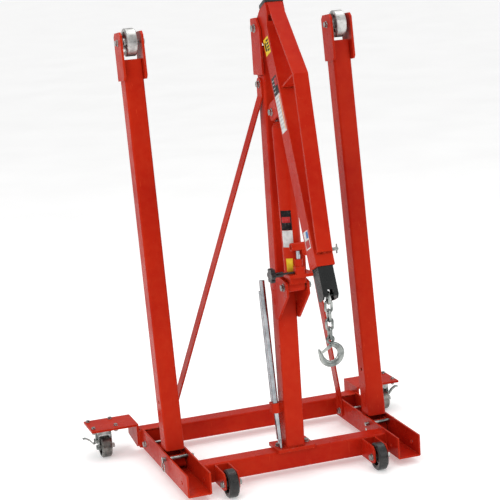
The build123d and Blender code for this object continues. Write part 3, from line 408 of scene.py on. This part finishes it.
def weld(name, body, start, end, radius):
    """A weld bead: overlapping scales laid from start to end."""
    step = 0.0012          # between the rings of the bead
    scale_pitch = 0.0052   # between one scale and the next
    drift = 0.0003         # how far the bead strays from its line
    start = Vector(start)
    end = Vector(end)
    length = (end - start).length
    count = max(8, int(length / step))
    path = []
    radii = []
    across, up = square_axes(end - start)
    for i in range(count + 1):
        t = i / count
        wander = across * rng.uniform(-1, 1) * drift + up * rng.uniform(-1, 1) * drift
        path.append(start.lerp(end, t) + wander)
        scale = abs(math.sin(math.pi * length * t / scale_pitch))
        ending = min(1.0, 0.35 + 8 * min(t, 1 - t))
        radii.append(radius * ending * (0.82 + 0.22 * scale + rng.uniform(-0.04, 0.04)))
    return sweep(name, body, looks["red_paint"], path, radii, steps=8)


def plate(name, body, look, corner, right, down):
    """A flat film, sunk a little into the face that its corner lies on."""
    corner = Vector(corner)
    right = Vector(right)
    down = Vector(down)
    out = down.cross(right).normalized()
    points = []
    for lift in (-0.0001, 0.0004):
        for i in range(2):
            for k in range(2):
                points.append(corner + right * k + down * i + out * lift)
    faces = [(4, 6, 7, 5), (0, 1, 3, 2), (0, 4, 5, 1), (1, 5, 7, 3), (3, 7, 6, 2), (2, 6, 4, 0)]
    return add_mesh(name, points, faces, look, body, smooth=False)


def wrapped(name, body, look, origin, axis, radius, along, angles):
    """A film round part of a cylinder. angles are in degrees, from the front to the left."""
    origin = Vector(origin)
    axis = Vector(axis).normalized()
    left = Vector((-1, 0, 0))
    front = axis.cross(left).normalized()
    if front.y > 0:
        front = -front
    steps = 20
    points = []
    for lift in (0.0, 0.0003):
        for t in along:
            for k in range(steps + 1):
                angle = math.radians(angles[0] + (angles[1] - angles[0]) * k / steps)
                spoke = left * math.sin(angle) + front * math.cos(angle)
                points.append(origin + axis * t + spoke * (radius + lift))
    row = steps + 1
    faces = []
    for k in range(steps):
        faces.append((k, k + 1, row + k + 1, row + k))
        faces.append((2 * row + k, 3 * row + k, 3 * row + k + 1, 2 * row + k + 1))
        faces.append((k, 2 * row + k, 2 * row + k + 1, k + 1))
        faces.append((row + k, row + k + 1, 3 * row + k + 1, 3 * row + k))
    for k in (0, steps):
        faces.append((k, row + k, 3 * row + k, 2 * row + k))
    return add_mesh(name, points, faces, look, body)


def through(points, steps):
    """A Catmull-Rom curve through points, with steps pieces between each two."""
    line = []
    for i in range(len(points) - 1):
        p0 = points[max(i - 1, 0)]
        p1, p2 = points[i], points[i + 1]
        p3 = points[min(i + 2, len(points) - 1)]
        for k in range(steps):
            t = k / steps
            point = []
            for a, b, c, d in zip(p0, p1, p2, p3):
                bend = (2 * a - 5 * b + 4 * c - d) * t**2 + (3 * b - a - 3 * c + d) * t**3
                point.append(0.5 * (2 * b + (c - a) * t + bend))
            line.append(tuple(point))
    line.append(tuple(points[-1]))
    return line


# ---------------------------------------------------------------- places taken from the frame
joint_at = {}
joint_axis = {}
for joint in frame["joints"]:
    joint_axis[joint["name"]] = Vector(joint["axis"])
    if joint.get("pos_m"):
        joint_at[joint["name"]] = Vector(joint["pos_m"])
boom_pivot = joint_at["boom_raise"]
boom_down = joint_axis["jib_slide"].normalized()
boom_out = Vector((0, boom_down.z, -boom_down.y))
ram_foot = joint_at["ram_tilt"]
ram_axis = joint_axis["rod_slide"].normalized()
hook_pin = joint_at["hook_swing"]


def on_boom(x, along, out):
    """A point given by its distance down the boom from the pivot and out from the pivot's line."""
    return boom_pivot + boom_down * along + boom_out * out + Vector((x, 0, 0))


# ---------------------------------------------------------------- films on the boom and the ram
boom_half = 0.0325             # from the boom's middle to its left face
ram_radius = 0.033
film_step = 0.0003             # how far a film on another film stands above it
film_edges = (0.036, 0.086)    # of the wide films, out from the pivot's line


def boom_film(name, look, along, out, raised=True):
    """A film on the boom's left face, on the paint or raised on another film."""
    corner = on_boom(-boom_half, along[0], out[0])
    right = boom_out * (out[1] - out[0])
    down = boom_down * (along[1] - along[0])
    film = plate(name, "boom", look, corner, right, down)
    if raised:
        film.location.x -= film_step


boom_film("caution_film", film_yellow, (0.060, 0.118), film_edges, raised=False)
boom_film("maker_film_black", film_black, (0.199, 0.262), film_edges, raised=False)
boom_film("maker_film_red", film_red, (0.2055, 0.232), (0.0625, 0.0835))
boom_film("care_film_white", film_white, (0.263, 0.394), film_edges, raised=False)
boom_film("care_film_orange", film_orange, (0.268, 0.388), (0.077, 0.0835))
for row in range(4):
    start = 0.068 + 0.011 * row
    boom_film(f"caution_bar_{row}", film_black, (start, start + 0.0065), (0.060, 0.082))
boom_film("caution_spot", film_black, (0.073, 0.103), (0.042, 0.055))
for row in range(9):
    start = 0.270 + 0.013 * row
    boom_film(f"care_line_{row}", film_grey, (start, start + 0.0055), (0.040, 0.073))
for row in range(4):
    start = 0.209 + 0.013 * row
    boom_film(f"maker_line_{row}", film_grey, (start, start + 0.003), (0.040, 0.058))
boom_film("small_film_white", film_white, (0.738, 0.800), (0.038, 0.082), raised=False)
boom_film("small_film_blue", film_blue, (0.742, 0.764), (0.060, 0.080))
boom_film("small_film_red", film_red, (0.770, 0.796), (0.042, 0.078))

for name, look, low, high, turns, lift in (
    ("ram_film_black", film_black, 0.200, 0.268, (8, 80), 0.0),
    ("ram_film_red", film_red, 0.226, 0.246, (16, 72), film_step),
    ("ram_film_white", film_white, 0.141, 0.199, (8, 80), 0.0),
    ("ram_film_yellow", film_yellow, 0.056, 0.102, (20, 64), 0.0),
):
    radius = ram_radius + lift
    wrapped(name, "ram", look, ram_foot, ram_axis, radius, (low, high), turns)

# a ring at the ram's foot and the seal at its top
hoop(
    "ram_foot_ring",
    "ram",
    looks["red_paint"],
    ram_foot,
    ram_axis,
    [(0.0492, 0.0325), (0.0492, 0.0350), (0.0505, 0.0358), (0.0525, 0.0350), (0.0545, 0.0325)],
)
hoop(
    "ram_wiper_seal",
    "ram",
    looks["black_plastic"],
    ram_foot,
    ram_axis,
    [(0.5718, 0.0144), (0.5718, 0.0195), (0.5745, 0.0185), (0.5755, 0.0144)],
)

# ---------------------------------------------------------------- hook
eye_radius = 0.011
eye_wire = 0.0045
wire_to_wire = 0.0089      # from the last link's wire up to the eye's wire
hook_wide = 1.08           # stretch of hook_line sideways
hook_tall = 1.12           # and downwards from the eye
eye_centre = hook_pin + Vector((0, 0, wire_to_wire - eye_radius))
hook_line = [(0, -10), (9, -15), (21, -22), (30, -33), (32, -45), (26, -61), (12, -71)]
hook_line += [(-3, -73.5), (-18, -68), (-29, -56), (-33, -44), (-37, -32), (-39.5, -24)]
hook_width = [7.5, 8.5, 10.2, 11.4, 12.2, 12.0, 11.3, 10.8, 10.2, 9.2, 7.6, 5.4, 2.6]
traced = through([(x, z, w) for (x, z), w in zip(hook_line, hook_width)], 6)
hook_path = [eye_centre + Vector((x * hook_wide, 0, z * hook_tall)) / 1000 for x, z, w in traced]
hook_body = sweep(
    "forged_hook",
    "hook",
    looks["zinc"],
    hook_path,
    [w / 1000 for x, z, w in traced],
    steps=20,
    squash=0.62,
    flat=(0, 1, 0),
)
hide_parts("hook")
eye_loop = []
for k in range(14):
    angle = math.tau * k / 14
    eye_loop.append((eye_wire * math.cos(angle), eye_radius + eye_wire * math.sin(angle)))
hoop("hook_eye", "hook", looks["zinc"], eye_centre, (0, 1, 0), eye_loop)
lathe(
    "latch_rivet",
    "hook",
    looks["zinc"],
    eye_centre + Vector((-0.003, -0.0094, -0.020)),
    (0, -1, 0),
    [(0, 0.0036), (0.0008, 0.0036), (0.0016, 0.0026), (0.002, 0.001)],
    steps=24,
)

# ---------------------------------------------------------------- welds
rail_low, rail_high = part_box("right_rail")
beam_low, beam_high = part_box("front_beam")
back_low, back_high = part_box("rear_beam")
mast_low, mast_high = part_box("mast")
foot_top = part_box("mast_base_plate")[1].z
ear_low, ear_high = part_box("ram_ears")
head_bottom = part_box("mast_head_plates")[0].z
frame_bead = 0.0034
plate_bead = 0.003
foot_bead = 0.0042
lug_bead = 0.0028
truss_side_bead = 0.0024
truss_foot_bead = 0.0036
strut_bead = 0.0026

for side_name, side in (("left", -1), ("right", 1)):
    inner = side * rail_low.x
    for tag, y in (("front", beam_low.y), ("back", beam_high.y)):
        weld(
            f"{side_name}_beam_weld_{tag}",
            "frame",
            (inner, y, beam_low.z + 0.004),
            (inner, y, beam_high.z - 0.003),
            frame_bead,
        )
    weld(
        f"{side_name}_beam_weld_top",
        "frame",
        (inner, beam_low.y + 0.002, beam_high.z),
        (inner, beam_high.y - 0.002, beam_high.z),
        frame_bead,
    )
    for tag, x in (("inner", rail_low.x + 0.002), ("outer", rail_high.x - 0.002)):
        weld(
            f"{side_name}_rail_end_weld_{tag}",
            "frame",
            (side * x, back_low.y, back_low.z + 0.01),
            (side * x, back_low.y, back_high.z),
            frame_bead,
        )
    weld(
        f"{side_name}_rail_end_weld_top",
        "frame",
        (side * (rail_low.x + 0.001), back_low.y, back_high.z),
        (side * (rail_high.x - 0.001), back_low.y, back_high.z),
        frame_bead,
    )
    face = side * mast_high.x
    weld(
        f"{side_name}_ear_weld",
        "frame",
        (face, mast_low.y, ear_low.z + 0.06),
        (face, mast_low.y, ear_high.z - 0.002),
        plate_bead,
    )
    weld(
        f"{side_name}_head_weld_bottom",
        "frame",
        (face, mast_low.y + 0.006, head_bottom),
        (face, mast_high.y - 0.006, head_bottom),
        plate_bead,
    )
    weld(
        f"{side_name}_foot_weld",
        "frame",
        (face, mast_low.y + 0.004, foot_top),
        (face, mast_high.y - 0.004, foot_top),
        foot_bead,
    )
    weld(
        f"{side_name}_lug_weld",
        "boom",
        on_boom(side * 0.031, 0.262, 0.028),
        on_boom(side * 0.031, 0.318, 0.028),
        lug_bead,
    )
    weld(
        f"{side_name}_truss_weld_low",
        "boom",
        on_boom(side * 0.026, 0.824, 0.1175),
        on_boom(side * 0.026, 0.824, 0.099),
        truss_side_bead,
    )
for tag, y in (("front", mast_low.y), ("back", mast_high.y)):
    weld(
        f"foot_weld_{tag}",
        "frame",
        (mast_low.x + 0.004, y, foot_top),
        (mast_high.x - 0.004, y, foot_top),
        foot_bead,
    )
weld(
    "truss_foot_weld",
    "boom",
    on_boom(-0.024, 0.825, 0.0995),
    on_boom(0.024, 0.825, 0.0995),
    truss_foot_bead,
)
weld(
    "strut_weld",
    "boom",
    on_boom(-0.025, 0.2535, 0.099),
    on_boom(0.025, 0.2535, 0.099),
    strut_bead,
)

# ---------------------------------------------------------------- wheel details
rivet_seat = 0.0048        # from a front hub's middle to its rivets' feet, just under its face
rivet_circle = 0.0225
hole_seat = 0.0082         # from a leg wheel's middle to its painted hole-shade discs, just above its web
hole_circle = 0.0265

for side_name, side in (("left", -1), ("right", 1)):
    hub_low, hub_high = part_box(f"{side_name}_front_hub")
    centre = (hub_low + hub_high) / 2
    for tag, facing in (("a", -1), ("b", 1)):
        for k in range(5):
            angle = math.radians(54) + math.tau * k / 5
            y = rivet_circle * math.cos(angle)
            z = rivet_circle * math.sin(angle)
            spot = centre + Vector((facing * rivet_seat, y, z))
            lathe(
                f"{side_name}_hub_rivet_{tag}{k}",
                f"{side_name}_front_wheel",
                looks["zinc"],
                spot,
                (facing, 0, 0),
                [(0, 0.0036), (0.0008, 0.0036), (0.0018, 0.0026), (0.0022, 0.001)],
                steps=16,
            )
    wheel = joint_at[f"{side_name}_leg_wheel_spin"]
    # near-black discs on each leg wheel's web: painted shade standing in for its holes
    for tag, facing in (("a", -1), ("b", 1)):
        x = wheel.x + facing * hole_seat
        for k in range(5):
            angle = math.tau * k / 5
            y = wheel.y + hole_circle * math.cos(angle)
            z = wheel.z + hole_circle * math.sin(angle)
            spot = Vector((x, y, z))
            lathe(
                f"{side_name}_web_hole_{tag}{k}",
                f"{side_name}_leg_wheel",
                painted_hole_shade,
                spot,
                (facing, 0, 0),
                [(-0.0006, 0.0064), (0.0004, 0.0064), (0.0006, 0.0055)],
                steps=24,
            )

# ---------------------------------------------------------------- floor, light and camera
bpy.ops.mesh.primitive_plane_add(size=160.0, location=(0, 20, 0))
floor = bpy.context.object
floor.name = "studio_floor"
floor.data.materials.append(pale_floor())

world = bpy.data.worlds.new("studio_world")
bpy.context.scene.world = world
world.use_nodes = True
# a grey horizon that brightens to white higher up
sky_tree = world.node_tree
sky_place = sky_tree.nodes.new("ShaderNodeTexCoord")
sky_parts = sky_tree.nodes.new("ShaderNodeSeparateXYZ")
sky_ramp = sky_tree.nodes.new("ShaderNodeValToRGB")
sky_tree.links.new(sky_place.outputs["Generated"], sky_parts.inputs[0])
sky_tree.links.new(sky_parts.outputs["Z"], sky_ramp.inputs[0])
sky_tree.links.new(sky_ramp.outputs["Color"], sky_tree.nodes["Background"].inputs["Color"])
sky_ramp.color_ramp.elements[0].position = 0.0
sky_ramp.color_ramp.elements[0].color = (0.30, 0.30, 0.31, 1.0)
sky_ramp.color_ramp.elements[1].position = 0.75
sky_ramp.color_ramp.elements[1].color = (1.0, 1.0, 1.0, 1.0)
sky_tree.nodes["Background"].inputs["Strength"].default_value = 0.85


def softbox(name, place, aim, size, watts):
    """A square softbox of size metres at place, turned to aim."""
    light = bpy.data.lights.new(name, "AREA")
    light.shape = "RECTANGLE"
    light.size = size
    light.size_y = size
    light.energy = watts
    lamp = bpy.data.objects.new(name, light)
    bpy.context.scene.collection.objects.link(lamp)
    lamp.location = place
    lamp.rotation_euler = (Vector(aim) - Vector(place)).to_track_quat("-Z", "Y").to_euler()


softbox("key_softbox", (-3.6, -3.2, 3.4), (0, 0, 0.9), 2.6, 88)
softbox("fill_softbox", (3.4, -4.2, 2.4), (0, 0, 0.8), 3.0, 50)
softbox("top_softbox", (0.3, 0.8, 4.6), (0, 0, 0.6), 3.0, 70)

# the camera fitted to the photograph: where it stands and which way its axes point
camera_data = bpy.data.cameras.new("photo_camera")
camera = bpy.data.objects.new("photo_camera", camera_data)
bpy.context.scene.collection.objects.link(camera)
right = Vector((0.94053, -0.33385, -0.06279))
up = Vector((0.12728, 0.17498, 0.97630))
back = Vector((-0.31495, -0.92624, 0.20706))
turn = Matrix((right, up, back)).transposed()
camera.matrix_world = Matrix.Translation((-1.8225, -5.232, 2.0012)) @ turn.to_4x4()
camera_data.sensor_width = 36.0
camera_data.lens = 114.57
camera_data.shift_x = -0.0245
camera_data.shift_y = -0.0082
camera_data.clip_end = 400.0
bpy.context.scene.camera = camera
bpy.context.scene.view_settings.view_transform = "Standard"

bpy.context.view_layer.update()
